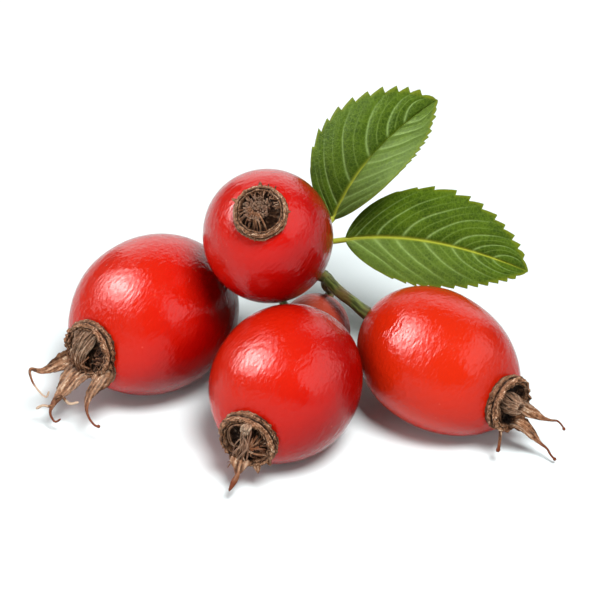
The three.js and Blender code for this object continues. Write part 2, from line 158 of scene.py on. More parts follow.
WRINKLE_RUN = (0.55, 0.45, 0.7)  # the direction in which the skin's wrinkles run
# The direction of the painted light in the hips' colour: the side facing it is painted lit, the other painted
# shaded.
PAINTED_LIGHT_SIDE = (-0.66, -0.3, 0.69)


def heading(turn, lift):
    turn, lift = radians(turn), radians(lift)
    return np.array([cos(lift) * sin(turn), -cos(lift) * cos(turn), sin(lift)])


def unit(vector):
    return np.asarray(vector, dtype=float) / np.linalg.norm(vector)


def across(axis):
    """Two directions square to an axis and to each other."""
    side = unit(np.cross((0, 0, 1), axis))
    return side, np.cross(axis, side)


def hip_axis_at(hip, share):
    """The middle and the facing of a hip at a share of its length, -1 the stem end and 1 the neck."""
    axis = heading(hip["turn"], hip["lift"])
    mouth = heading(hip["mouth_turn"], hip["mouth_lift"])
    aside = mouth - axis * mouth.dot(axis)
    bend = max(share, 0) ** 4
    along = share * (hip["stem_side"] if share < 0 else hip["calyx_side"])
    middle = np.array(hip["centre"]) + axis * along + aside * hip["calyx_side"] * NECK_BEND * bend
    return middle, unit(axis + aside * bend)


def hip_radius_at(hip, share):
    """An ellipse's radius on the stem side, and one that ends in the neck on the calyx side."""
    drop = share**2 if share < 0 else (1 - NECK_SHARE**2) * share**SHOULDER
    return hip["radius"] * max(1 - drop, 0) ** 0.5


def ring_noise(angle, level, seed, detail=1.0):
    """Smooth noise from -1 to 1 that closes on itself round a ring."""
    return noise.noise((detail * cos(angle), detail * sin(angle) + seed * 7.3, level + seed * 3.1))


def closed_skin(rings):
    """Points and faces of a closed skin over rings that all have the same count."""
    rings = np.asarray(rings, dtype=float)
    levels, count = rings.shape[:2]
    points = np.vstack([rings.reshape(-1, 3), rings[0].mean(axis=0), rings[-1].mean(axis=0)])
    first, last = levels * count, levels * count + 1
    a = np.arange(levels - 1)[:, None] * count + np.arange(count)[None, :]
    b = np.arange(levels - 1)[:, None] * count + (np.arange(count)[None, :] + 1) % count
    faces = np.stack([a, b, b + count, a + count], axis=-1).reshape(-1, 4).tolist()
    top = (levels - 1) * count
    for j in range(count):
        k = (j + 1) % count
        faces.append([first, k, j])
        faces.append([last, top + j, top + k])
    return points, faces


def faces_out(points, faces):
    """The same faces, turned over if they look inwards."""
    volume = 0.0
    for face in faces:
        a, b, c = points[face[0]], points[face[1]], points[face[2]]
        volume += a[0] * (b[1] * c[2] - b[2] * c[1]) - a[1] * (b[0] * c[2] - b[2] * c[0])
        volume += a[2] * (b[0] * c[1] - b[1] * c[0])
        if len(face) == 4:
            d = points[face[3]]
            volume += a[0] * (c[1] * d[2] - c[2] * d[1]) - a[1] * (c[0] * d[2] - c[2] * d[0])
            volume += a[2] * (c[0] * d[1] - c[1] * d[0])
    return faces if volume > 0 else [face[::-1] for face in faces]


def grown(name, skins, finish, stands_for=None):
    """One piece of the sprig. A skin is its points in mm, its faces, and its marks on the points."""
    points, faces, marks = [], [], {}
    for skin_points, skin_faces, skin_marks in skins:
        base = sum(len(p) for p in points)
        turned = faces_out(skin_points, skin_faces)
        faces += [[base + i for i in face] for face in turned]
        points.append(skin_points)
        for mark, values in skin_marks.items():
            marks.setdefault(mark, []).append(np.asarray(values, dtype=float))
    mesh = bpy.data.meshes.new(name)
    mesh.from_pydata(placed(np.vstack(points)).tolist(), [], faces)
    for mark, values in marks.items():
        layer = mesh.attributes.new(mark, "FLOAT", "POINT")
        layer.data.foreach_set("value", np.concatenate(values).astype(np.float32))
    mesh.shade_smooth()
    mesh.materials.append(finish)
    mesh.update()
    piece = bpy.data.objects.new(name, mesh)
    bpy.context.collection.objects.link(piece)
    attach(piece, "root")
    if stands_for:
        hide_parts(stands_for)
    return piece


class Wire:
    """A socket of a finish, so that shader maths can be written as an expression."""

    def __init__(self, finish, socket):
        self.finish = finish
        self.socket = socket

    def maths(self, operation, *others):
        return self.finish.node("Math", {"operation": operation}, {i: v for i, v in enumerate((self, *others))})

    def __add__(self, other):
        return self.maths("ADD", other)

    __radd__ = __add__

    def __mul__(self, other):
        return self.maths("MULTIPLY", other)

    __rmul__ = __mul__

    def __sub__(self, other):
        return self.maths("SUBTRACT", other)

    def __rsub__(self, other):
        return self * -1 + other

    def step(self, low, high):
        """0 below low, 1 above high and smooth between them."""
        return self.finish.node("MapRange", {"interpolation_type": "SMOOTHSTEP"}, {0: self, 1: low, 2: high})


class Finish:
    """The look of one kind of surface: a Principled shader and the nodes that feed it."""

    def __init__(self, name, roughness, specular):
        self.material = bpy.data.materials.new(name)
        self.material.use_nodes = True
        self.tree = self.material.node_tree
        self.shader = self.tree.nodes["Principled BSDF"]
        self.shader.inputs["Roughness"].default_value = roughness
        self.shader.inputs["Specular IOR Level"].default_value = specular
        place = self.node("TexCoord", {}, {}, output="Object")
        self.place = self.node("VectorMath", {"operation": "MULTIPLY"}, {0: place, 1: (1 / MM,) * 3})  # in mm

    def node(self, kind, settings, sockets, output=0):
        made = self.tree.nodes.new("ShaderNode" + kind)
        for setting, value in settings.items():
            setattr(made, setting, value)
        for socket, value in sockets.items():
            if isinstance(value, Wire):
                self.tree.links.new(value.socket, made.inputs[socket])
            else:
                made.inputs[socket].default_value = value
        return Wire(self, made.outputs[output])

    def mark(self, name):
        """A value that the mesh carries on its points."""
        return self.node("Attribute", {"attribute_name": name}, {}, output="Fac")

    def at(self, x, y, z):
        return self.node("CombineXYZ", {}, {0: x, 1: y, 2: z})

    def drawn_out(self, vector, direction, by):
        """A vector squeezed along a direction, so that what it feeds is drawn out along it."""
        part = self.node("VectorMath", {"operation": "DOT_PRODUCT"}, {0: vector, 1: direction}, output="Value")
        along = self.node("VectorMath", {"operation": "SCALE"}, {0: direction, "Scale": part * (1 / by - 1)})
        return self.node("VectorMath", {"operation": "ADD"}, {0: vector, 1: along})

    def grain(self, vector, scale, detail=2.0, roughness=0.5):
        """Noise from 0 to 1; scale is in features per unit of the vector."""
        sockets = {"Vector": vector, "Scale": scale, "Detail": detail, "Roughness": roughness}
        return self.node("TexNoise", {}, sockets)

    def cells(self, vector, scale, feature="F1"):
        return self.node("TexVoronoi", {"feature": feature}, {"Vector": vector, "Scale": scale})

    def blend(self, mask, first, second):
        sockets = {0: mask, 6: first, 7: second}
        return self.node("Mix", {"data_type": "RGBA"}, sockets, output=2)

    def raise_by(self, height, depth):
        """Relief: height is from 0 to 1 and depth is in mm."""
        bump = self.node("Bump", {}, {"Height": height, "Distance": depth * MM, "Strength": 1.0})
        self.set("Normal", bump)

    def set(self, socket, wire):
        self.tree.links.new(wire.socket, self.shader.inputs[socket])


def colour(red, green, blue):
    """A colour given as it shows on a screen, from 0 to 255, as the shader takes it."""
    def linear(value):
        value /= 255
        return value / 12.92 if value <= 0.04045 else ((value + 0.055) / 1.055) ** 2.4
    return (linear(red), linear(green), linear(blue), 1.0)


def hip_finish(name, shine, satin, deep, lit_side_red, orange, scar):
    """Waxy skin with fine wrinkles, its colour given painted light: orange red on the side facing the light and
    crimson as painted shade on the other.
    """
    skin = Finish(name, roughness=satin, specular=shine)
    mm = skin.place
    patches = skin.grain(mm, 0.08, 1.0)
    mottle = skin.grain(mm, 1.1, 4.0, 0.6)
    neck = skin.mark("neck")
    # Painted light and shade: skin facing the light turns to the lit red and orange, the rest to the crimson deep
    # as painted shade; patches and mottle add random tone.
    painted_lit_side = skin.mark("painted_lit_side") + patches * 0.35 + mottle * 0.1
    tone = skin.blend(painted_lit_side.step(0.58, 1.12), deep, lit_side_red)
    tone = skin.blend((painted_lit_side * 0.55 + skin.mark("blush")).step(0.56, 1.02) * 0.85, tone, orange)
    specks = 1 - skin.cells(mm, 0.4).step(0.04, 0.07)
    tone = skin.blend(specks * 0.14, tone, colour(238, 120, 90))
    tone = skin.blend((1 - (neck + mottle * 0.03).step(0.02, 0.07)) * 0.8, tone, scar)
    skin.set("Base Color", tone)
    skin.set("Roughness", mottle * 0.08 + satin)
    wrinkles = skin.grain(skin.drawn_out(mm, WRINKLE_RUN, 2.4), 2.5, 2.0)
    dents = skin.grain(skin.drawn_out(mm, WRINKLE_RUN, 1.6), 0.8, 1.0)
    skin.raise_by(wrinkles * 0.5 + dents * 0.5, depth=0.19)
    return skin.material


# deep is the crimson of painted shade and the red after it that of painted light; orange comes with the blush and
# with painted light.
ripe_skin = hip_finish(
    "ripe_skin", shine=0.21, satin=0.1, deep=colour(132, 2, 1), lit_side_red=colour(180, 10, 5),
    orange=colour(188, 36, 8), scar=colour(110, 62, 28),
)
dull_skin = hip_finish(
    "dull_skin", shine=0.1, satin=0.3, deep=colour(116, 24, 14), lit_side_red=colour(142, 42, 28),
    orange=colour(158, 66, 46), scar=colour(90, 60, 30),
)


def hip_skin(hip, seed):
    """Rings from the stem end to the neck, with how near the neck each point is and how far it faces the painted
    light.
    """
    rings, neck, painted_lit_side = [], [], []
    angles = [2 * pi * j / HIP_SIDES for j in range(HIP_SIDES)]
    for i in range(1, HIP_RINGS + 1):
        share = -cos(pi * i / HIP_RINGS)
        middle, facing = hip_axis_at(hip, share)
        side, up = across(facing)
        radius = hip_radius_at(hip, share)
        ring = []
        for angle in angles:
            ripple = HIP_RIPPLE * ring_noise(angle, share, seed, 1.3) * min(1, radius / RIPPLE_FULL)
            ring.append(middle + (radius + ripple) * (side * cos(angle) + up * sin(angle)))
        rings.append(ring)
        neck += [(share + 1) / 2] * HIP_SIDES
        # How far each point faces the painted light, for painted light and shade in the skin's colour.
        for angle in angles:
            out = (side * cos(angle) + up * sin(angle)) * (1 - share**2) ** 0.5 + facing * share
            painted_lit_side.append(0.5 + 0.5 * out.dot(PAINTED_LIGHT_SIDE))
    points, faces = closed_skin(rings)
    if hip["rests"]:
        points[:, 2] = np.maximum(points[:, 2], 0)
    return points, faces, {
        "neck": neck + [0.0, 1.0], "painted_lit_side": painted_lit_side + [painted_lit_side[0], painted_lit_side[-1]],
        "blush": np.full(len(points), hip["blush"]),
    }


for seed, (which, hip) in enumerate(HIPS.items()):
    skin = dull_skin if which == "back" else ripe_skin
    grown(f"hip_skin_{which}", [hip_skin(hip, seed)], skin, f"hip_{which}")

# ---- Calyx cups -------------------------------------------------------------------------------
# Where the flower sat, its base has dried to a woody cup: two ridges with a groove between them, a
# crumbling rim, and a hollow, the groove and the hollow darkened by painted shade. It is grown onto the neck of
# the hip.

CLEARANCE = 0.3  # where a cup's own height starts, above the end of the flesh in mm
ROOTED = 0.1  # how far a cup or a pedicel reaches into the flesh it grows on, in mm
CUP_HEIGHT = 1.5
FULL_MOUTH = 3.2  # the radius in mm below which a mouth has a lower cup
# The cup's profile from under its edge, over its ridges and down to the floor: shares of its radius
# and of its height, and how much painted shade it carries. What lies below 0 is rooted in the hip.
CUP_PROFILE = [
    (0.55, -0.4, 0.6), (0.93, -0.4, 0.8), (0.975, 0.06, 0.5), (1.015, 0.16, 0.1), (1.02, 0.3, 0.0),
    (0.985, 0.4, 0.2), (0.935, 0.44, 0.95), (0.92, 0.52, 1.0), (0.955, 0.62, 0.4), (0.965, 0.76, 0.0),
    (0.94, 0.94, 0.0), (0.9, 1.03, 0.0), (0.86, 1.03, 0.15), (0.835, 0.92, 0.9), (0.82, 0.86, 0.95),
    (0.795, 0.93, 0.25), (0.765, 0.93, 0.1), (0.74, 0.8, 0.5), (0.72, 0.5, 0.9), (0.69, 0.34, 1.0),
    (0.5, 0.3, 1.0), (0.2, 0.3, 1.0),
]
CUP_SIDES = 240
CUP_LEVELS = 76
INSIDE_FROM = 0.7  # the share of the levels from which they are inside, where the cup is smoother
RIM_FROM, RIM_DEPTH = 0.55, 0.45  # the share of the height from which the rim is ragged, and the rest
CRUMBS = ((1, 0.22), (2.1, 0.15), (4.3, 0.08))  # how fine each kind is, and how far it stands out in mm


def dried_finish(name, dark, middle, light, tip, pale, painted_shade):
    """Dry plant fibre: streaks along the grain, painted shade in its hollows, pale where bleached and with a
    painted highlight on sepal ridges, red brown at thin tips.
    """
    husk = Finish(name, roughness=0.75, specular=0.12)
    mm = husk.place
    fibre = husk.at(husk.mark("around"), husk.mark("along") * 0.14, husk.mark("piece") * 9.7)
    streaks = husk.grain(fibre, 3.2, 3.0, 0.6)
    crumbs = husk.grain(mm, 2.2, 4.0, 0.65)
    mixed = streaks * 0.62 + crumbs * 0.38
    tone = husk.blend(mixed.step(0.39, 0.54), dark, middle)
    tone = husk.blend(mixed.step(0.53, 0.66), tone, light)
    tone = husk.blend(husk.mark("tip") * (mixed + 0.45), tone, tip)
    # pale: bleached fibre, and on the sepals' rib ridges a painted highlight.
    tone = husk.blend(husk.mark("pale") * (mixed * 0.6 + 0.5), tone, pale)
    # Painted shade: where the shade mark is high, in grooves, hollows and deep strands, the fibre turns nearly
    # black.
    tone = husk.blend(husk.mark("shade") * 0.97, tone, painted_shade)
    husk.set("Base Color", tone)
    husk.set("Roughness", crumbs * 0.2 + 0.62)
    husk.raise_by(streaks * 0.6 + husk.grain(mm, 5.5, 3.0) * 0.4, depth=0.36)
    return husk.material


husk_brown = dried_finish(
    "husk_brown", dark=colour(56, 31, 18), middle=colour(142, 99, 70), light=colour(216, 190, 162),
    tip=colour(98, 44, 20), pale=colour(196, 172, 148), painted_shade=colour(20, 8, 4),
)


def between(table, share):
    """A row of a table at a share of its length, taken evenly between the rows on either side."""
    spot = share * (len(table) - 1)
    low = min(int(spot), len(table) - 2)
    return np.array(table[low]) * (1 - spot + low) + np.array(table[low + 1]) * (spot - low)


def cup_skin(hip, seed):
    """Rings along the profile: an uneven round with a ragged rim, and crumbs all over it."""
    middle, facing = hip_axis_at(hip, 1)
    side, up = across(facing)
    size = hip["mouth_radius"]
    height = CUP_HEIGHT * min(1, size / FULL_MOUTH)
    rings, around, along, shade = [], [], [], []
    for i in range(CUP_LEVELS):
        radius, level, dim = between(CUP_PROFILE, i / (CUP_LEVELS - 1))
        rough = 0.5 if i / (CUP_LEVELS - 1) > INSIDE_FROM else 1.0
        edge = max(0, level - RIM_FROM) / RIM_DEPTH
        ring = []
        for j in range(CUP_SIDES):
            angle = 2 * pi * j / CUP_SIDES
            out = side * cos(angle) + up * sin(angle)
            wander = 0.035 * ring_noise(angle, 0.3, seed, 1.7)
            wander += 0.03 * ring_noise(angle, level * 1.4, seed + 20, 5)
            broken = 0.2 * ring_noise(angle, 0, seed + 40, 3) + 0.22 * ring_noise(angle, 0.4, seed + 50, 11)
            sunk = 0.16 * ring_noise(angle, level * 2.5, seed + 70, 2.3) * edge
            uneven = (broken + sunk) * edge * hip["crumbling"]
            above = max(CLEARANCE + height * (level + uneven), -ROOTED)
            point = middle + size * radius * (1 + wander) * out + facing * above
            at = point * 1.7
            crumb = sum(stands_out * noise.noise(at * fine) for fine, stands_out in CRUMBS)
            raised = facing * crumb * 0.7 * min(1, (above + ROOTED) / CLEARANCE)
            point = point + (out * crumb + raised) * rough * hip["crumbling"]
            ring.append(point)
            around.append(angle * size * 0.35 + 2 * crumb)
            along.append(i * 0.9)
            # Painted shade, uneven round the ring and lighter on the crumbs that stand out.
            uneven_shade = 0.6 * ring_noise(angle, level * 2, seed + 60, 5) * (0.15 + dim)
            shade.append(min(1, max(0, dim + uneven_shade - crumb)))
        rings.append(ring)
    points, faces = closed_skin(rings)
    return points, faces, {
        "around": around + [0, 0], "along": along + [0, 0], "shade": shade + [0.6, 1.0],
        "piece": np.full(len(points), seed),
    }


for seed, (which, hip) in enumerate(HIPS.items()):
    grown(f"calyx_cup_{which}", [cup_skin(hip, seed)], husk_brown, f"calyx_{which}")

# ---- Sepals -----------------------------------------------------------------------------------
# The five leaf-like sepals of each flower, dried to twisted papery strips. They are rooted in the
# cup's rim, and many have broken off short or curl to a thin hooked tip.

# Each path is measured in mm from the mouth's middle and begins just off the rim. Half widths go
# evenly from root to tip. knob is the radius of a swollen tip, pale is the share of the length at
# which the strip turns pale, face is the way it looks where it does not look outwards, and a loose
# one is a side lobe that does not start at the rim.
SEPALS = {
    "left": [
        dict(path=[(-3.9, 0.1, -1.9), (-5.3, -0.8, -2.3), (-7.2, -1.6, -2.7), (-8.7, -1.8, -2.3),
                   (-8.4, -2.8, -3.6), (-6.9, -4.1, -5), (-6.45, -4.3, -5.1), (-6.0, -4.3, -4.1)],
             half_widths=(1.3, 1.25, 0.85, 0.42, 0.26, 0.17, 0.14, 0.14, 0.14), pale=0.68),
        dict(path=[(-2.6, -1.6, -3.4), (-4.4, -2.9, -5.3), (-5.6, -3.6, -6.6), (-6.1, -4.2, -7.9),
                   (-5.44, -4.9, -8.8), (-4.56, -5.2, -8.1)],
             half_widths=(1.75, 1.75, 1.35, 0.9, 0.45, 0.2, 0.16, 0.15)),
        dict(path=[(1.4, -3.0, -2.0), (0.5, -4.3, -2.9), (-0.5, -5.0, -4.26), (-0.9, -6.02, -5.7),
                   (-0.5, -7.0, -6.7), (0.34, -7.6, -7.5), (0.97, -7.8, -7.5)],
             half_widths=(1.5, 1.3, 0.95, 0.6, 0.33, 0.19, 0.16, 0.15), knob=0.24, face=(-0.25, -0.8, 0.55)),
        dict(path=[(-5.5, -3.7, -6.9), (-6.2, -3.8, -7.0), (-7.06, -3.82, -6.86), (-8.08, -3.7, -7.5)],
             half_widths=(0.3, 0.2, 0.18, 0.26), loose=True, pale=0.3),
        dict(path=[(-5.3, -3.4, -5.9), (-4.5, -3.45, -5.6), (-3.5, -3.72, -6.6), (-2.12, -3.82, -6.3)],
             half_widths=(0.4, 0.28, 0.2, 0.17), loose=True, pale=0.4),
    ],
    "front": [
        dict(path=[(-1.32, -1.7, -2.8), (-1.7, -2.7, -3.83), (-1.88, -3.4, -4.36), (-2.34, -4.0, -4.88),
                   (-2.89, -4.7, -5.66)],
             half_widths=(1.7, 1.75, 1.45, 0.75, 0.3, 0.42, 0.3, 0.14)),
        dict(path=[(0.8, -1.8, -3.4), (0.9, -2.4, -4.5)], half_widths=(0.8, 0.65, 0.3)),
        dict(path=[(2.3, -2.3, -2.4), (2.6, -2.8, -2.9)], half_widths=(0.9, 0.6, 0.4)),
    ],
    "right": [
        dict(path=[(2.9, 0.45, -1.45), (4.15, 0, -2.06), (5.56, -0.7, -2.45), (6.43, -1.3, -2.3),
                   (7.23, -1.9, -2.0), (7.8, -2.3, -2.4), (8.17, -2.7, -2.94)],
             half_widths=(0.9, 0.95, 0.85, 0.6, 0.32, 0.18, 0.15, 0.14, 0.14), knob=0.23),
        dict(path=[(2.0, -1.5, -2.7), (3.7, -2.2, -3.8), (5.1, -2.9, -5.0), (5.94, -3.5, -5.5),
                   (6.4, -4.0, -6.1), (7.03, -4.5, -6.6)],
             half_widths=(1.55, 1.45, 1.25, 0.95, 0.6, 0.26, 0.17, 0.15, 0.15), knob=0.24),
        dict(path=[(-0.45, -3.0, -3.2), (-0.6, -3.9, -4.4), (-0.84, -4.5, -5.2)],
             half_widths=(0.5, 0.34, 0.26, 0.24), knob=0.32),
        dict(path=[(0.5, -2.1, -3.2), (0.35, -2.35, -3.5)], half_widths=(0.7, 0.45, 0.4), knob=0.5),
    ],
    "top": [
        dict(path=[(-3.4, 0.4, 1.9), (-3.85, 0.4, 2.15)], half_widths=(0.35, 0.25, 0.12)),
        dict(path=[(3.4, -0.9, 0.9), (3.9, -0.9, 1.05)], half_widths=(0.35, 0.25, 0.12)),
        dict(path=[(-0.1, 1.65, 3.4), (-0.1, 1.95, 3.85)], half_widths=(0.4, 0.28, 0.12)),
        dict(path=[(-0.7, -3.3, -1.4), (-0.8, -3.75, -1.85)], half_widths=(0.35, 0.25, 0.12)),
    ],
    "back": [
        dict(path=[(-1.4, -1.2, -1.1), (-1.9, -2.4, -1.2)], half_widths=(0.7, 0.55, 0.3)),
        dict(path=[(0.9, -1.4, 0.5), (1, -2.5, 0.4)], half_widths=(0.7, 0.55, 0.3)),
    ],
}
ROOT_SHARE = 0.84  # how far out in the mouth a strip is rooted
ROOT_BELOW_RIM = 0.35
SEPAL_SIDES = 40
SEPAL_STEP = 0.075  # between the rings of a strip, in mm
SEPAL_HALF_THICK = 0.19
BROAD = 0.9  # the half width in mm from which a strip is fully ribbed and curled
BLUNT_END = 0.3  # a tip without a knob is rounded off over this length, in mm
CURL = 0.42  # how far its edges curl back, as a share of the half width
TEARS = ((0.9, 0.16), (2.7, 0.1))  # how close together they are, and how deep in the half width
RIBS = ((2.9, 0.13, 3.3, 0.11), (6.5, 0.3, 4.3, 0.05))  # how close across and along, a shift, and mm high
PATH_PIECES = 24  # how finely a smooth path is worked out between its bends


def smooth_path(points, count):
    """Evenly spaced points on a smooth curve through the given ones, and its length."""
    given = np.asarray(points, dtype=float)
    ends = np.vstack([2 * given[0] - given[1], given, 2 * given[-1] - given[-2]])
    fine = []
    for p0, p1, p2, p3 in zip(ends, ends[1:], ends[2:], ends[3:]):
        t = np.cumsum([0] + [max(np.linalg.norm(b - a), 1e-6) ** 0.5 for a, b in ((p0, p1), (p1, p2), (p2, p3))])
        for s in np.linspace(t[1], t[2], PATH_PIECES, endpoint=False):
            def mixed(a, b, i, j):
                return (t[j] - s) / (t[j] - t[i]) * a + (s - t[i]) / (t[j] - t[i]) * b
            a1, a2, a3 = mixed(p0, p1, 0, 1), mixed(p1, p2, 1, 2), mixed(p2, p3, 2, 3)
            fine.append(mixed(mixed(a1, a2, 0, 2), mixed(a2, a3, 1, 3), 1, 2))
    fine = np.vstack([fine, given[-1]])
    run = np.concatenate([[0], np.cumsum(np.linalg.norm(np.diff(fine, axis=0), axis=1))])
    even = np.linspace(0, run[-1], count)
    return np.stack([np.interp(even, run, fine[:, k]) for k in range(3)], axis=-1), run[-1]


def sepal_line(hip, sepal):
    """The middle line of a strip, from its root in the rim to its tip, and its length."""
    middle, facing = hip_axis_at(hip, 1)
    path = np.array(sepal["path"])
    if not sepal.get("loose"):
        root = path[0] - facing * path[0].dot(facing)
        root = unit(root) * ROOT_SHARE * hip["mouth_radius"] + facing * (CUP_HEIGHT - ROOT_BELOW_RIM)
        path = np.vstack([root, path])
    _, length = smooth_path(path, 2)
    return smooth_path(path + middle, int(length / SEPAL_STEP) + 8)[0], length


def sepal_skin(hip, sepal, seed):
    """A strip of ribbed rings that turns about its line, with ragged edges that curl back."""
    middle, facing = hip_axis_at(hip, 1)
    line, length = sepal_line(hip, sepal)
    steps = len(line)
    knob = sepal.get("knob", 0)
    redness = 0.25 if len(sepal["path"]) < 3 or sepal.get("loose") else 1
    rings, around, along, tip, pale, shade = [], [], [], [], [], []
    for i, point in enumerate(line):
        share = i / (steps - 1)
        left_over = (1 - share) * length
        direction = unit(line[min(i + 1, steps - 1)] - line[max(i - 1, 0)])
        outward = point - middle
        outward = np.array(sepal.get("face", outward - facing * outward.dot(facing)))
        wide = unit(np.cross(direction, outward))
        thick = np.cross(wide, direction)
        twist = 2.6 * max(0, share - 0.5) * noise.noise((seed * 1.7, share * 2, 0))
        wide, thick = wide * cos(twist) + thick * sin(twist), thick * cos(twist) - wide * sin(twist)
        half = between(np.array(sepal["half_widths"])[:, None], share)[0]
        slim = min(1, half / BROAD)
        rise = min(SEPAL_HALF_THICK, half * 0.95)
        if left_over < 2 * knob:
            ball = (knob**2 - (left_over - knob) ** 2) ** 0.5
            half, rise = max(half, ball), max(rise, ball)
        if left_over < BLUNT_END and not knob:
            blunt = (left_over / BLUNT_END) ** 0.5
            half, rise = half * blunt, rise * blunt
        turns_red = min(1, max(0, (share - 0.45) / 0.35))
        turns_pale = min(1, max(0, (share - sepal.get("pale", 2)) / 0.06))
        # in_the_cup is painted shade on the root of the strip, inside the cup.
        in_the_cup = 0.4 * max(0, 1 - share / 0.14)
        ring = []
        for j in range(SEPAL_SIDES):
            angle = 2 * pi * j / SEPAL_SIDES
            edge = cos(angle)
            row = 3 if edge > 0 else 8
            ragged = sum(deep * noise.noise((share * length * close, seed * 5.1, row)) for close, deep in TEARS)
            aside = half * edge * (1 + ragged)
            curl = CURL * half * edge**2 * slim * (0.6 + 0.8 * noise.noise((share * 2.5, seed, 5)))
            ribs = sum(
                high * noise.noise((aside * beside, share * length * behind, seed * shift))
                for beside, behind, shift, high in RIBS
            )
            lift = sin(angle) * rise * (1 - 0.35 * abs(edge) ** 3) - curl
            lift += ribs * slim * (1 if sin(angle) > 0 else -1)
            ring.append(point + wide * aside + thick * lift)
            around.append(aside + 4)
            along.append(share * length)
            tip.append(turns_red * redness)
            # The pale mark is the bleached tip and a painted highlight on the rib ridges; the shade mark is
            # painted shade in the rib valleys and at the root, and darker edges.
            pale.append(max(turns_pale, min(0.6, max(0, 9 * ribs * slim - 0.1))))
            shade.append(min(0.7, in_the_cup + (max(0, -9 * ribs) + 0.45 * edge**6) * slim))
        rings.append(ring)
    points, faces = closed_skin(rings)
    return points, faces, {
        "around": around + [4, 4], "along": along + [0, length], "tip": tip + [0, tip[-1]],
        "pale": pale + [0, pale[-1]], "shade": shade + [0.4, 0], "piece": np.full(len(points), seed),
    }


for number, (which, sepals) in enumerate(SEPALS.items()):
    skins = [sepal_skin(HIPS[which], sepal, 10 * number + k + 1) for k, sepal in enumerate(sepals)]
    grown(f"sepals_{which}", skins, husk_brown)
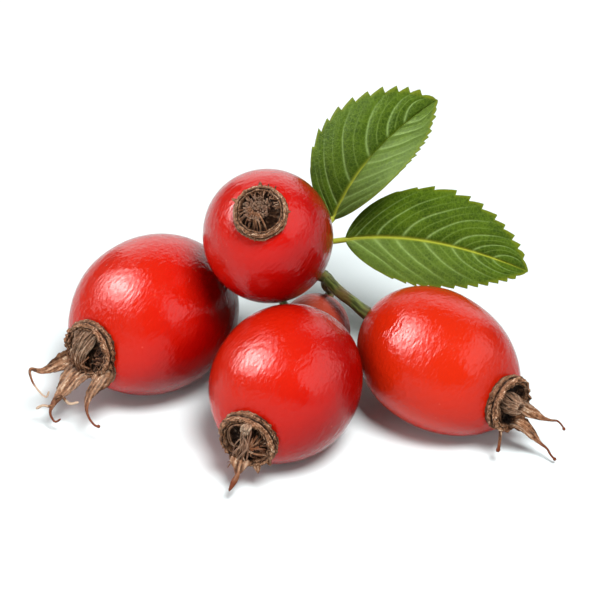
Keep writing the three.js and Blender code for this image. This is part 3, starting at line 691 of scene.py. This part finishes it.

# ---- Styles and stamens -----------------------------------------------------------------------
# In the mouth of each cup stands what the flower left: matted bunches of styles in the middle, and
# round them the thin filaments that once carried the anthers, rooted in the wall and the floor.

# Strands run through places given as shares of the mouth's radius to the right and up, seen into
# the mouth, and a height in mm. beside sets them side by side and about sets them round circles, in
# the same shares; filled spreads them over the circles, and layers sets some lower, in mm, and in
# more painted shade. rays stand round one place, from a near to a far reach and height, over a span
# in degrees. loose is how far they stray, thick their radius in mm and taper what it is times that.
# shade, from root to tip, is their painted shade, pale how bleached and rust how red brown they are.
MOUTHS = {
    "left": [
        dict(count=46, through=[(0.0, 0.78, 0.7), (-0.1, 0.48, 1.8), (-0.2, 0.1, 2.3), (-0.3, -0.3, 1.9)],
             beside=[(0.4, 0.02), (0.34, -0.1), (0.25, -0.2), (0.24, -0.12)], loose=0.06, thick=(0.08, 0.15),
             shade=(0.25, 0.0), layers=0.8, pale=0.3),
        dict(count=16, through=[(-0.25, 0.0, 1.7), (-0.3, -0.35, 2.1), (-0.25, -0.72, 1.6)],
             beside=[(0.3, -0.1), (0.34, -0.1), (0.4, 0.05)], loose=0.08, thick=(0.09, 0.15), shade=(0.1, 0.0),
             layers=0.5),
        dict(count=7, through=[(0.6, -0.45, 0.7), (0.8, 0.05, 1.0), (0.66, 0.52, 0.9)],
             beside=[(0.05, 0)] * 3, loose=0.04, thick=(0.08, 0.13), shade=(0.2, 0.5)),
        dict(count=26, rays=(0.3, -0.2), reach=(0.5, 0.15), heights=(0.6, 1.3), span=(-110, 80), loose=0.09,
             thick=(0.06, 0.1), shade=(0.7, 0.25), rust=0.3),
        dict(count=70, rays=(0.25, 0.0), reach=(0.78, 0.3), heights=(0.5, 0.9), loose=0.12, thick=(0.04, 0.07),
             shade=(0.95, 0.7)),
    ],
    "front": [
        dict(count=14, through=[(0.1, 0.68, 1.5), (0.08, 0.45, 2.0), (0.04, 0.1, 2.3), (-0.14, -0.35, 2.2),
                                (-0.26, -0.8, 2.0), (-0.36, -1.12, 1.7)],
             beside=[(0.13, 0), (0.07, 0), (0.12, 0), (0.2, 0.03), (0.26, 0.05), (0.24, 0.05)], loose=0.065,
             thick=(0.08, 0.15), shade=(-0.1, -0.4), layers=0.5, pale=0.28, rust=0.4),
        dict(count=30, through=[(0.12, 0.74, 1.6), (0.12, 0.74, 2.2), (0.13, 0.73, 2.7)], filled=True,
             about=(0.1, 0.17, 0.14), loose=0.02, thick=(0.09, 0.14), taper=(1, 1, 1.35, 1.1), shade=(0.1, -0.45),
             rust=0.0, pale=0.8),
        dict(count=3, through=[(0.0, 0.75, 1.6), (-0.34, 0.72, 1.9), (-0.56, 0.3, 2.0), (-0.42, -0.1, 2.0),
                               (-0.18, -0.12, 2.0)],
             beside=[(0.03, 0)] * 5, loose=0.03, thick=(0.08, 0.12), shade=(0.15, 0.1), pale=0.1),
        dict(count=22, through=[(0.2, 0.55, 0.6), (0.22, 0.2, 1.4), (0.16, -0.2, 1.8), (0.0, -0.6, 1.6)],
             beside=[(0.22, -0.1), (0.26, -0.05), (0.3, 0.0), (0.4, 0.1)], loose=0.06, thick=(0.1, 0.16),
             shade=(0.85, 0.5), layers=0.7),
        dict(count=9, rays=(0.1, -0.15), reach=(0.08, 0.66), heights=(1.8, 1.1), span=(-65, 70), loose=0.04,
             thick=(0.12, 0.17), shade=(0.05, 0.0), rust=0.3),
        dict(count=18, rays=(0.15, -0.1), reach=(0.3, 0.72), heights=(1.2, 0.8), span=(-80, 60), loose=0.06,
             thick=(0.07, 0.11), shade=(0.35, 0.1), rust=0.3),
        dict(count=60, rays=(0.1, 0.0), reach=(0.8, 0.35), heights=(0.5, 0.8), loose=0.1, thick=(0.04, 0.07),
             shade=(0.95, 0.7)),
    ],
    "right": [
        dict(count=110, through=[(-0.12, 0.14, 0.7), (-0.12, 0.13, 1.7), (-0.12, 0.1, 2.5), (-0.1, 0.08, 3.0)],
             about=(0.34, 0.33, 0.27, 0.17), loose=0.03, thick=(0.05, 0.1), shade=(0.65, -0.4), pale=0.35),
        dict(count=14, through=[(-0.2, 0.16, 1.7), (-0.15, 0.1, 2.4), (-0.1, 0.08, 3.1)],
             about=(0.2, 0.19, 0.2), loose=0.015, thick=(0.08, 0.12), shade=(0.0, -0.3), pale=0.65),
        dict(count=6, through=[(-0.66, 0.3, 0.7), (-0.62, -0.1, 0.9), (-0.5, -0.5, 0.8)],
             beside=[(0.05, 0)] * 3, loose=0.05, thick=(0.08, 0.13), shade=(0.3, 0.4)),
        dict(count=60, rays=(-0.1, 0.0), reach=(0.8, 0.45), heights=(0.5, 0.8), loose=0.1, thick=(0.04, 0.07),
             shade=(0.95, 0.7)),
    ],
    "top": [
        dict(count=190, through=[(-0.04, 0.05, 0.5), (-0.08, 0.05, 1.6), (-0.12, 0.05, 2.4)], filled=True,
             about=(0.32, 0.42, 0.47), loose=0.03, thick=(0.065, 0.105), taper=(1, 1, 1.3, 1.0), shade=(0.3, -0.9),
             rust=0.5, pale=0.45),
        dict(count=13, rays=(-0.1, 0.05), reach=(0.2, 0.88), heights=(2.5, 1.0), span=(185, 300), loose=0.02,
             thick=(0.09, 0.13), shade=(0.0, 0.0), rust=0.2),
        dict(count=22, rays=(0.0, 0.1), reach=(0.5, 0.88), heights=(1.3, 1.1), span=(0, 150), loose=0.05,
             thick=(0.07, 0.11), shade=(0.3, 0.2), rust=0.1),
        dict(count=24, rays=(0.1, -0.1), reach=(0.8, 0.5), heights=(0.5, 0.7), loose=0.08, thick=(0.04, 0.07),
             shade=(0.95, 0.75)),
    ],
    "back": [
        dict(count=26, through=[(0, 0, 0.4), (0, 0, 0.9), (0, 0, 1.3)], filled=True, about=(0.4, 0.36, 0.44),
             loose=0.05, thick=(0.08, 0.13), taper=(1, 1, 1.3, 1.0), shade=(0.6, 0.1)),
    ],
}
STRAND_SIDES = 7
STRAND_TURN = 2.4  # radians from one strand to the next round a circle, which spreads them evenly
LOWEST = 0.4  # the height in mm below which no strand goes
STRAND_SEED = 31


def strand_skin(points, radii, sides, seed, shade=(0.0, 0.0), steps=10, pale=0.0, rust=0.0):
    """A thin round strand through points; its radii and its painted shade go evenly from root to tip."""
    line, length = smooth_path(points, steps)
    rings, marks = [], {mark: [] for mark in ("around", "along", "shade", "pale", "tip", "piece")}
    side = None
    for i, point in enumerate(line):
        share = i / (steps - 1)
        direction = unit(line[min(i + 1, steps - 1)] - line[max(i - 1, 0)])
        if side is None:
            side = across(direction)[0] if abs(direction[2]) < 0.95 else unit(np.cross((1, 0, 0), direction))
        side = unit(side - direction * side.dot(direction))
        up = np.cross(direction, side)
        radius = between(np.array(radii)[:, None], share)[0]
        for j in range(sides):
            angle = 2 * pi * j / sides
            rings.append(point + radius * (side * cos(angle) + up * sin(angle)))
            dim = shade[0] + (shade[1] - shade[0]) * share
            for values, value in zip(marks.values(), (angle * 0.2, share * length, dim, pale, rust, seed)):
                values.append(value)
    points, faces = closed_skin(np.array(rings).reshape(steps, sides, 3))
    for values in marks.values():
        values += [values[0], values[-1]]
    return points, faces, marks


def bunch_skins(hip, bunch, rng):
    """The strands of one bunch, each led through the bunch's places with its own small strays."""
    middle, facing = hip_axis_at(hip, 1)
    side, up = across(facing)
    size = hip["mouth_radius"]
    first, last = bunch.get("span", (0, 360))
    skins = []
    for i in range(bunch["count"]):
        place = 2 * (i + rng.uniform(0, 1)) / bunch["count"] - 1
        turn = STRAND_TURN * i + rng.uniform(-0.2, 0.2)
        fill = ((i + 1) / bunch["count"]) ** 0.5 if bunch.get("filled") else 1.0
        layer = rng.uniform(-1, 0) * bunch.get("layers", 0.2)
        if "rays" in bunch:
            turn = radians(first + (last - first) * (place + 1) / 2)
            near, far = bunch["reach"]
            far = near + (far - near) * rng.uniform(0.75, 1.0)
            bend = rng.uniform(0.2, 0.5)
            low, high = bunch["heights"]
            through = [(*bunch["rays"], low), (*bunch["rays"], low + (high - low) * bend), (*bunch["rays"], high)]
            rounds = [near, (near + far) / 2, far]
        else:
            through = bunch["through"]
            rounds = [fill * r for r in bunch.get("about", [0] * len(through))]
        points = []
        for (a, b, h), r, (da, db) in zip(through, rounds, bunch.get("beside", [(0, 0)] * len(through))):
            a += r * cos(turn) + da * place + rng.gauss(0, bunch["loose"])
            b += r * sin(turn) + db * place + rng.gauss(0, bunch["loose"])
            h += layer * (1 if h > 0.9 else 0.3) + rng.gauss(0, 0.08)
            points.append(middle + size * (a * side + b * up) + facing * (CLEARANCE + max(h, LOWEST)))
        thick = rng.uniform(*bunch["thick"])
        taper = bunch.get("taper", (1.1, 1.0, 0.95, 0.9, rng.choice((0.5, 1.3))))
        steps = 5 * len(points)
        pale = bunch.get("pale", 0) * rng.uniform(0.3, 1)
        # Painted shade from root to tip, darker at random towards the tip and more so on strands set lower.
        dim = (bunch["shade"][0], bunch["shade"][1] + rng.uniform(0, 0.45) - layer * 0.3)
        rust = bunch.get("rust", 0.12) * rng.uniform(0, 2)
        radii = [thick * k for k in taper]
        skins.append(strand_skin(points, radii, STRAND_SIDES, rng.uniform(0, 40), dim, steps, pale, rust))
    return skins


for seed, (which, bunches) in enumerate(MOUTHS.items()):
    rng = random.Random(STRAND_SEED + seed)
    skins = [skin for bunch in bunches for skin in bunch_skins(HIPS[which], bunch, rng)]
    grown(f"styles_{which}", skins, husk_brown)

# ---- Stalk ------------------------------------------------------------------------------------
# One woody green shoot, cut at its back end. It forks to the hips' pedicels, each flared where it
# meets its hip, and carries the thin leaf stalk. It is all one growth, so its skin is one piece.

FORK = (5.05, 19.2, 14.5)
NODE = (1, 22.1, 15)
# The shoot from its cut end, the leaf stalk and its side stalk: bends, and radii that go evenly.
SHOOTS = [
    ([(-6.4, 27.4, 18.4), (-2.6, 24.8, 16.1), NODE, FORK], (1.2, 1.12, 1.05, 1.0, 0.9)),
    ([NODE, (4, 22, 17.2), (4.85, 22.2, 19.2), (5.3, 22.4, 21.1)], (0.66, 0.55, 0.52, 0.5)),
    ([(4.6, 22.2, 18), (5.2, 22.2, 18.3), (5.85, 22.2, 18.45)], (0.5, 0.5, 0.5)),
]
# Each pedicel leaves from a place, passes its bends and meets its hip, off the pole by offset. It
# goes straight at the hip over its last stretch, aim, and widens there to the radius flare.
PEDICELS = {
    "right": dict(start=FORK, bends=[(6.9, 17, 13.5), (8.7, 15, 13.1)], radius=0.82, flare=1.02, aim=0.7,
                  offset=(-0.05, 0.15, 0.25)),
    "back": dict(start=FORK, bends=[(5, 20.6, 12.2)], radius=0.58, flare=0.75, aim=1.1, offset=(0, 0, 0)),
    "left": dict(start=NODE, bends=[(-3.2, 26.2, 13.6), (-6.4, 26.9, 12.2)], radius=0.75, flare=1.2, aim=1.8,
                 offset=(0, 0, 0)),
    "top": dict(start=NODE, bends=[(-0.9, 22, 14.9)], radius=0.75, flare=1.15, aim=1.8, offset=(0, 0, 0)),
    "front": dict(start=NODE, bends=[(-1.4, 18, 13.8), (-0.8, 15.4, 12.6), (0.8, 13.4, 12.1), (3, 12, 12),
                                     (4.6, 11, 12.2)],
                  radius=0.55, flare=0.8, aim=0.6, offset=(-0.26, -0.03, -0.27)),
}
SHOOT_SIDES = 20
SHOOT_STEPS = 30
BARK_GRID = 0.13  # the spacing of the fused skin's points, in mm
SWELLS = ((1.1, 0.05), (3, 0.03))  # how close together the bark's swellings are, and mm high
LINE_STEPS = 60  # how finely a shoot's line is cut up to find what of the skin is its own
FLARES_FROM, FLARE_SHARE = 0.86, 0.14  # where the brown of the flare starts, and the rest
CUT_SHARE = 0.012  # how much of the first shoot is its pale cut end


def pedicel_shoot(which):
    made = PEDICELS[which]
    middle, facing = hip_axis_at(HIPS[which], -1)
    end = middle + facing * ROOTED + np.array(made["offset"])
    path = [made["start"], *made["bends"], end - facing * made["aim"], end]
    radii = [made["radius"]] * 8 + [made["radius"] * 1.05, (made["radius"] + made["flare"]) / 2, made["flare"]]
    return path, radii


def bark_finish():
    """Green young bark: long pale and dark streaks, brown in places, darker at the joints."""
    bark = Finish("green_bark", roughness=0.5, specular=0.4)
    mm = bark.place
    streaks = bark.grain(bark.at(bark.mark("around") * 1.5, bark.mark("along") * 0.22, 0.0), 1.7, 3.0, 0.6)
    patches = bark.grain(mm, 0.32, 3.0)
    tone = bark.blend(streaks.step(0.38, 0.62), colour(42, 48, 14), colour(94, 104, 50))
    tone = bark.blend((patches + streaks * 0.25).step(0.64, 0.8) * 0.7, tone, colour(88, 62, 34))
    tone = bark.blend(bark.mark("flare") * 0.4, tone, colour(84, 62, 30))
    tone = bark.blend(bark.mark("cut"), tone, colour(176, 160, 110))
    bark.set("Base Color", tone)
    bark.set("Roughness", patches * 0.2 + 0.38)
    bark.raise_by(streaks * 0.7 + bark.grain(mm, 4.0, 3.0) * 0.3, depth=0.14)
    return bark.material


def stalk_skin():
    """All shoots fused into one skin by a fine grid, then eased, marked and slightly swollen."""
    shoots = SHOOTS + [pedicel_shoot(which) for which in PEDICELS]
    rough = bpy.data.meshes.new("stalk_rough")
    points, faces = [], []
    for path, radii in shoots:
        skin_points, skin_faces, _ = strand_skin(path, radii, SHOOT_SIDES, 0, steps=SHOOT_STEPS)
        faces += [[len(points) + i for i in face] for face in faces_out(skin_points, skin_faces)]
        points += skin_points.tolist()
    rough.from_pydata(points, [], faces)
    shape = bpy.data.objects.new("stalk_rough", rough)
    bpy.context.collection.objects.link(shape)
    fused = shape.modifiers.new("fused", "REMESH")
    fused.mode = "VOXEL"
    fused.voxel_size = BARK_GRID
    eased = shape.modifiers.new("eased", "SMOOTH")
    eased.factor = 0.5
    eased.iterations = 4
    bpy.context.view_layer.update()
    done = bpy.data.meshes.new_from_object(shape.evaluated_get(bpy.context.evaluated_depsgraph_get()))
    points = np.array([v.co[:] for v in done.vertices])
    normals = np.array([v.normal[:] for v in done.vertices])
    faces = [list(p.vertices) for p in done.polygons]
    bpy.data.objects.remove(shape)
    bpy.data.meshes.remove(rough)
    bpy.data.meshes.remove(done)
    near = np.full(len(points), 1e9)
    marks = {mark: np.zeros(len(points)) for mark in ("around", "along", "flare", "cut")}
    for k, (path, radii) in enumerate(shoots):
        line, length = smooth_path(path, LINE_STEPS)
        gap = np.linalg.norm(points[:, None, :] - line[None, :, :], axis=2)
        closest = gap.argmin(axis=1)
        distance = gap.min(axis=1) / max(radii)
        mine = distance < near
        near = np.minimum(near, distance)
        direction = unit(line[-1] - line[0])
        side, up = across(direction)
        off = points - line[closest]
        share = closest / (LINE_STEPS - 1)
        marks["around"][mine] = (np.arctan2(off @ up, off @ side) * 0.9 + k * 5)[mine]
        marks["along"][mine] = (share * length)[mine]
        meets_hip = k >= len(SHOOTS)
        marks["flare"][mine] = (np.clip((share - FLARES_FROM) / FLARE_SHARE, 0, 1) * meets_hip)[mine]
        marks["cut"][mine] = ((share < CUT_SHARE) * (k == 0) * 1.0)[mine]
    for i, (x, y, z) in enumerate(points):
        swell = sum(high * noise.noise((x * close, y * close, z * close)) for close, high in SWELLS)
        points[i] = points[i] + normals[i] * swell
    return points, faces, marks


grown("stalk_bark", [stalk_skin()], bark_finish(), "stalk")

# ---- Leaflets ---------------------------------------------------------------------------------
# Two leaflets of the compound leaf: thin green blades with saw-toothed margins, a midrib that is
# sunk above and stands out below, and side veins that curve forward to the teeth.

# face is the way that the upper side looks, petiolule where the leaflet's own stalk starts, and
# rib_fades the share of the length at which the midrib loses its yellow. side 1 is the left half,
# seen from base to tip. fold is how far a half is tilted up. root and point say how fast it widens
# from the base and the tip. teeth is how many a half has, tooth their height, and smooth the share
# of the length without any. veins are the places along the midrib where side veins leave it. sheen
# is how far a painted sheen pales the half, and dulls how much of that it loses towards the tip.
LEAFLETS = {
    "upper": dict(
        base=(6.1, 22.9, 21.6), middle=(11.55, 24.4, 31.15), tip=(20.45, 28.6, 37.35),
        face=(-0.12, -0.84, 0.53), petiolule=(5.32, 22.43, 21.15), rib_fades=0.5,
        halves={
            1: dict(width=7.65, fold=4, root=0.75, point=0.92, teeth=13, tooth=0.62, smooth=0.1,
                    veins=[-0.02, 0.1, 0.27, 0.46, 0.62, 0.75], sheen=0.06, dulls=0.5),
            -1: dict(width=6.3, fold=43, root=0.75, point=0.7, teeth=19, tooth=0.36, smooth=0.35,
                     veins=[0.03, 0.15, 0.28, 0.41, 0.53, 0.64, 0.75], sheen=0.44, dulls=0.5),
        },
    ),
    "lower": dict(
        base=(7.75, 22.0, 18.85), middle=(19.5, 20.6, 19.4), tip=(33.3, 19.6, 15.1),
        face=(-0.02, -0.8, 0.6), petiolule=(5.85, 22.2, 18.45), rib_fades=2,
        halves={
            1: dict(width=7.3, fold=10, root=0.76, point=0.94, teeth=14, tooth=0.58, smooth=0.14,
                    veins=[-0.06, 0.05, 0.17, 0.3, 0.43, 0.57, 0.68, 0.79], sheen=0.06, dulls=0.5),
            -1: dict(width=6.25, fold=12, root=0.65, point=0.91, teeth=15, tooth=0.42, smooth=0.08,
                     veins=[0.04, 0.15, 0.27, 0.42, 0.56, 0.68, 0.79], sheen=0.62, dulls=1.5),
        },
    ),
}
BLADE_ROWS = 240
COLUMNS = 46  # in each half
BLADE_FROM, BLADE_TO = 0.004, 0.996  # the shares of the midrib between which there is blade
TIP_SPREAD = 26  # how fast a half may widen from the tip, in mm over the whole length
TOOTH_BACK = 0.8  # the share of a tooth's length taken by its long back
TOOTH_LEAN = 0.9  # how far a tooth points forward, as a share of its height
TEETH_FROM, TEETH_SHARE = 0.85, 0.15  # how far out on a half its teeth begin, and the rest
MARGIN_WAVE = 0.3  # how far the margin waves up and down, in mm
BLADE_ARCH = 0.9  # how far the margin hangs below a flat half, in mm
VEIN_SWEEP = 0.1  # how far the margin runs ahead of the midrib, as a share of the length
VEIN_FORWARD = 0.26  # how far a side vein runs ahead of its root, as a share of the length
PILLOW = 0.12  # how far the blade swells between its veins, in mm
PILLOW_WIDTH = 0.7  # how far a pillow's slope reaches from its vein, in mm
VEIN_DEPTH = 0.05
VEIN_WIDTH, VEIN_NARROWS = 0.2, 0.1  # half widths in mm at the midrib, and less at the margin
RIB_DEPTH = 0.16
RIB_WIDTH, RIB_NARROWS = 0.27, 0.15  # half widths in mm at the base, and less at the tip
RIB_BELOW = 0.28  # how far the midrib stands out on the under side, in mm
BLADE_HALF = 0.17  # half the blade's thickness, in mm


def leaf_finish():
    """Leaf skin: deep green above with pale veins, a satin finish, a painted sheen and painted shade beside the
    midrib, greyer below.
    """
    leaf = Finish("leaf_green", roughness=0.45, specular=0.06)
    mm = leaf.place
    patches = leaf.grain(mm, 0.3, 2.0)
    fine = leaf.grain(mm, 2.6, 3.0, 0.6)
    lines = 1 - leaf.cells(mm, 1.9, "DISTANCE_TO_EDGE").step(0.0, 0.16)
    tone = leaf.blend((patches * 0.6 + fine * 0.7).step(0.4, 0.86), colour(35, 55, 2), colour(64, 86, 9))
    # Painted sheen, paling the halves that face the light.
    tone = leaf.blend(leaf.mark("sheen") * (0.6 + fine * 0.8), tone, colour(108, 130, 62))
    # Painted shade beside the midrib.
    tone = leaf.blend(leaf.mark("crease_shade") * 0.5, tone, colour(34, 52, 2))
    tone = leaf.blend(lines * 0.12, tone, colour(120, 146, 50))
    tone = leaf.blend(leaf.mark("twig") * 0.2, tone, colour(140, 166, 84))
    tone = leaf.blend(leaf.mark("vein") * (fine * 0.8 + 0.25), tone, colour(126, 150, 84))
    tone = leaf.blend(leaf.mark("midrib") * 0.85, tone, colour(162, 168, 56))
    tone = leaf.blend(leaf.mark("margin") * 0.5, tone, colour(122, 128, 26))
    tone = leaf.blend(leaf.mark("under") * 0.6, tone, colour(132, 156, 98))
    leaf.set("Base Color", tone)
    leaf.set("Roughness", fine * 0.2 + 0.36 + leaf.mark("under") * 0.25)
    leaf.raise_by(fine * 0.7 - lines * 0.3, depth=0.05)
    return leaf.material


def half_width_at(half, share):
    """A half's width at a share of its length, by a curve that is widest at its named width."""
    def shape(at):
        return at ** half["root"] * (1 - at) ** half["point"]
    width = half["width"] * shape(share) / shape(half["root"] / (half["root"] + half["point"]))
    return min(width, TIP_SPREAD * (1 - share))


def midrib_of(leaflet):
    """The midrib's length, and its points and directions by share, bent to pass its named middle."""
    base, middle, tip = (np.array(leaflet[k], dtype=float) for k in ("base", "middle", "tip"))
    control = 2 * middle - (base + tip) / 2
    t = np.linspace(0, 1, 400)[:, None]
    line = (1 - t) ** 2 * base + 2 * t * (1 - t) * control + t**2 * tip
    slope = 2 * (1 - t) * (control - base) + 2 * t * (tip - control)
    slope /= np.linalg.norm(slope, axis=1)[:, None]
    run = np.concatenate([[0], np.cumsum(np.linalg.norm(np.diff(line, axis=0), axis=1))])
    shares = run / run[-1]

    def at(share):
        point = np.array([np.interp(share, shares, line[:, k]) for k in range(3)])
        return point, unit([np.interp(share, shares, slope[:, k]) for k in range(3)])
    return at, run[-1]


def tooth_at(half, along, seed):
    """How far the margin stands out: uneven teeth with long backs, and none near the base."""
    spot = along * half["teeth"] + 0.4 * noise.noise((along * 7, half["width"], seed + 4))
    part = spot % 1
    rise = (part / TOOTH_BACK) ** 0.85 if part < TOOTH_BACK else (1 - part) / (1 - TOOTH_BACK)
    uneven = 1 + 0.4 * noise.noise((int(spot) * 1.37, half["width"], seed + 9))
    begun = min(1, max(0, (along - half["smooth"]) / 0.2), (1 - along) / 0.12)
    return half["tooth"] * rise * uneven * begun


def on_blade(share):
    return min(max(share, BLADE_FROM), BLADE_TO)


def hump(distance, width):
    """1 at no distance, and gone at about twice the width."""
    return np.exp(-((distance / width) ** 2))


def blade_skin(leaflet, seed):
    """Both halves as one grid of middle points, given relief and then a top and an under side."""
    midrib, length = midrib_of(leaflet)
    face = unit(leaflet["face"])
    rows = BLADE_ROWS
    wide = 2 * COLUMNS + 1
    middle_surface = np.zeros((rows + 1, wide, 3))
    relief = np.zeros((rows + 1, wide))
    marks = {mark: np.zeros((rows + 1, wide)) for mark in ("vein", "twig", "midrib", "margin", "sheen", "crease_shade")}
    for i in range(rows + 1):
        along = i / rows
        teeth = {side: tooth_at(half, along, seed) for side, half in leaflet["halves"].items()}
        at_margin = on_blade(along + VEIN_SWEEP * sin(pi * along))
        for c in range(-COLUMNS, COLUMNS + 1):
            side = 1 if c >= 0 else -1
            half = leaflet["halves"][side]
            out = abs(c) / COLUMNS
            share = (1 - out) * on_blade(along) + out * at_margin
            point, forward = midrib(share)
            sideways = unit(np.cross(face, forward)) * (0 if c == 0 else side)
            width = half_width_at(half, at_margin)
            hook = teeth[side] * max(0, (out - TEETH_FROM) / TEETH_SHARE) ** 1.3
            spread = out * width + hook
            tilt = radians(half["fold"])
            wave = MARGIN_WAVE * out**2 * noise.noise((along * 5, side * 3.0, seed)) * min(1, width / 3)
            lift = spread * sin(tilt) - BLADE_ARCH * (spread / half["width"]) ** 2 + wave
            outward = sideways * spread * cos(tilt) + face * lift
            spot = i, c + COLUMNS
            middle_surface[spot] = point + outward + forward * hook * TOOTH_LEAN
            stray = 0.012 * noise.noise((along * 8, out * 2, seed + side))
            ahead = along - VEIN_FORWARD * out**1.6 + stray
            veins = half["veins"]
            near = min(abs(ahead - v) for v in veins) * length
            twig = min(abs(ahead - (v + w) / 2) for v, w in zip(veins, veins[1:])) * length
            fade = min(1, out * 9) * (1 - max(0, out - 0.6) / 0.4) * min(1, width / 2)
            vein = hump(near, VEIN_WIDTH - VEIN_NARROWS * out) * fade
            rib = hump(out * width, RIB_WIDTH - RIB_NARROWS * along) * min(1, (1.02 - along) * 8)
            pillow = PILLOW * (1 - hump(near, PILLOW_WIDTH)) * fade
            relief[spot] = pillow - VEIN_DEPTH * vein - RIB_DEPTH * rib
            # The painted sheen is strongest on the banks beside each vein, and where it dulls towards the tip the
            # veins are whitened towards the base with it.
            banks = 0.5 + 0.8 * hump(near, 0.55) * (1 - out) ** 0.5
            marks["vein"][spot] = vein * (1 + 0.5 * half["dulls"] * max(0, 0.6 - along))
            marks["twig"][spot] = hump(twig, 0.12) * fade
            marks["midrib"][spot] = rib * min(1, max(0.1, (leaflet["rib_fades"] - along) / 0.15))
            marks["margin"][spot] = hump((1 - out) * width, 0.2)
            # Painted shade beside the midrib on the left half.
            marks["crease_shade"][spot] = hump(out * width, 1.7) * (side > 0)
            marks["sheen"][spot] = half["sheen"] * banks * min(1, out * 20) * (1.3 - half["dulls"] * along)
    alongway = np.gradient(middle_surface, axis=0)
    sideway = np.gradient(middle_surface, axis=1)
    normal = np.cross(alongway, sideway)
    normal /= np.maximum(np.linalg.norm(normal, axis=2, keepdims=True), 1e-9)
    if (normal @ face).mean() < 0:
        normal = -normal
    out = np.abs(np.linspace(-1, 1, wide))[None, :, None]
    thick = BLADE_HALF * (1 - 0.5 * out**6)
    shaped = middle_surface + normal * relief[:, :, None]
    top = shaped + normal * thick
    bottom = shaped - normal * (thick + RIB_BELOW * marks["midrib"][:, :, None])
    points = np.vstack([top.reshape(-1, 3), bottom.reshape(-1, 3)])
    under = (rows + 1) * wide
    i, c = np.meshgrid(np.arange(rows), np.arange(wide - 1), indexing="ij")
    a = (i * wide + c).ravel()
    upper = np.stack([a, a + wide, a + wide + 1, a + 1], axis=-1)
    faces = upper.tolist() + (upper[:, ::-1] + under).tolist()
    edge = list(range(wide)) + [i * wide + wide - 1 for i in range(1, rows + 1)]
    edge += [rows * wide + c for c in range(wide - 2, -1, -1)] + [i * wide for i in range(rows - 1, 0, -1)]
    for a, b in zip(edge, edge[1:] + edge[:1]):
        faces.append([a, b, under + b, under + a])
    doubled = {mark: np.concatenate([values.ravel(), values.ravel()]) for mark, values in marks.items()}
    doubled["under"] = np.concatenate([np.zeros(under), np.ones(under)])
    return points, faces, doubled


def leaf_stalk_skin(leaflet):
    """The leaflet's short stalk, which runs on under the midrib."""
    midrib, _ = midrib_of(leaflet)
    face = unit(leaflet["face"])
    path = [leaflet["petiolule"]] + [midrib(share)[0] - face * 0.2 for share in (0.03, 0.12, 0.2)]
    points, faces, _ = strand_skin(path, (0.4, 0.38, 0.32, 0.2), 16, 0, steps=24)
    marks = {mark: np.zeros(len(points)) for mark in ("vein", "twig", "margin", "sheen", "crease_shade", "under")}
    marks["midrib"] = np.ones(len(points))
    return points, faces, marks


leaf_green = leaf_finish()
for seed, (which, leaflet) in enumerate(LEAFLETS.items()):
    skins = [blade_skin(leaflet, seed), leaf_stalk_skin(leaflet)]
    grown(f"leaf_{which}", skins, leaf_green, f"leaflet_{which}")
